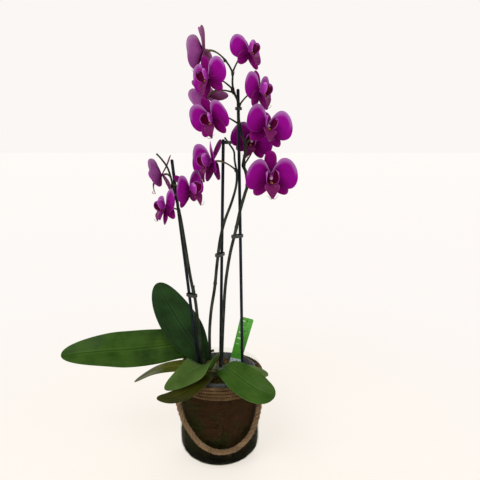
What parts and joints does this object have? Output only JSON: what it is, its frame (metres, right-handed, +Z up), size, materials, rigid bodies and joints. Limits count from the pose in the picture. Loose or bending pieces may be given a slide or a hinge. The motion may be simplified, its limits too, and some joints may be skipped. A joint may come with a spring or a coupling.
{
  "type": "orchid in a jar",
  "caption": "Potted moth orchid with staked flower spikes and strap leaves, its nursery pot set in a rounded glass jar with a twine-wrapped neck and rope handle.",
  "frame": {"origin": "centre of the jar's flat underside, on the surface it stands on", "axes": "+Z up along the jar's axis; +X to the right of a person facing the rope handle, who stands on the -Y side"},
  "size_m": [0.3633, 0.1919, 0.6803],
  "materials": {
    "jar_glass": "gloss",
    "moss": "matte",
    "bark": "matte",
    "pot_plastic": "satin",
    "twine": "matte",
    "stake_plastic": "satin",
    "clip_plastic": "satin",
    "label_plastic": "satin",
    "crown_tissue": "satin",
    "leaf_tissue": "satin",
    "stem_tissue": "satin",
    "petal_tissue": "matte",
    "lip_tissue": "satin"
  },
  "bodies": {
    "root": {"bark_mix": "bark", "clip_left_lower": "clip_plastic", "clip_left_upper": "clip_plastic", "clip_middle_lower": "clip_plastic", "clip_middle_upper": "clip_plastic", "clip_right_lower": "clip_plastic", "clip_right_upper": "clip_plastic", "crown": "crown_tissue", "fibre_lining": "moss", "flower_01_lip": "lip_tissue", "flower_01_petals": "petal_tissue", "flower_02_lip": "lip_tissue", "flower_02_petals": "petal_tissue", "flower_03_lip": "lip_tissue", "flower_03_petals": "petal_tissue", "flower_04_lip": "lip_tissue", "flower_04_petals": "petal_tissue", "flower_05_lip": "lip_tissue", "flower_05_petals": "petal_tissue", "flower_06_lip": "lip_tissue", "flower_06_petals": "petal_tissue", "flower_07_lip": "lip_tissue", "flower_07_petals": "petal_tissue", "flower_08_lip": "lip_tissue", "flower_08_petals": "petal_tissue", "flower_09_lip": "lip_tissue", "flower_09_petals": "petal_tissue", "flower_10_lip": "lip_tissue", "flower_10_petals": "petal_tissue", "flower_11_lip": "lip_tissue", "flower_11_petals": "petal_tissue", "flower_12_lip": "lip_tissue", "flower_12_petals": "petal_tissue", "flower_13_lip": "lip_tissue", "flower_13_petals": "petal_tissue", "flower_spike_left": "stem_tissue", "flower_spike_middle": "stem_tissue", "flower_spike_right": "stem_tissue", "glass_jar": "jar_glass", "leaf_front_left": "leaf_tissue", "leaf_front_lower": "leaf_tissue", "leaf_front_right": "leaf_tissue", "leaf_left_long": "leaf_tissue", "leaf_left_narrow": "leaf_tissue", "leaf_right_small": "leaf_tissue", "leaf_upright": "leaf_tissue", "nursery_pot": "pot_plastic", "plant_label": "label_plastic", "rope_collar": "twine", "rope_handle": "twine", "stake_left": "stake_plastic", "stake_middle": "stake_plastic", "stake_right": "stake_plastic"}
  },
  "joints": []
}
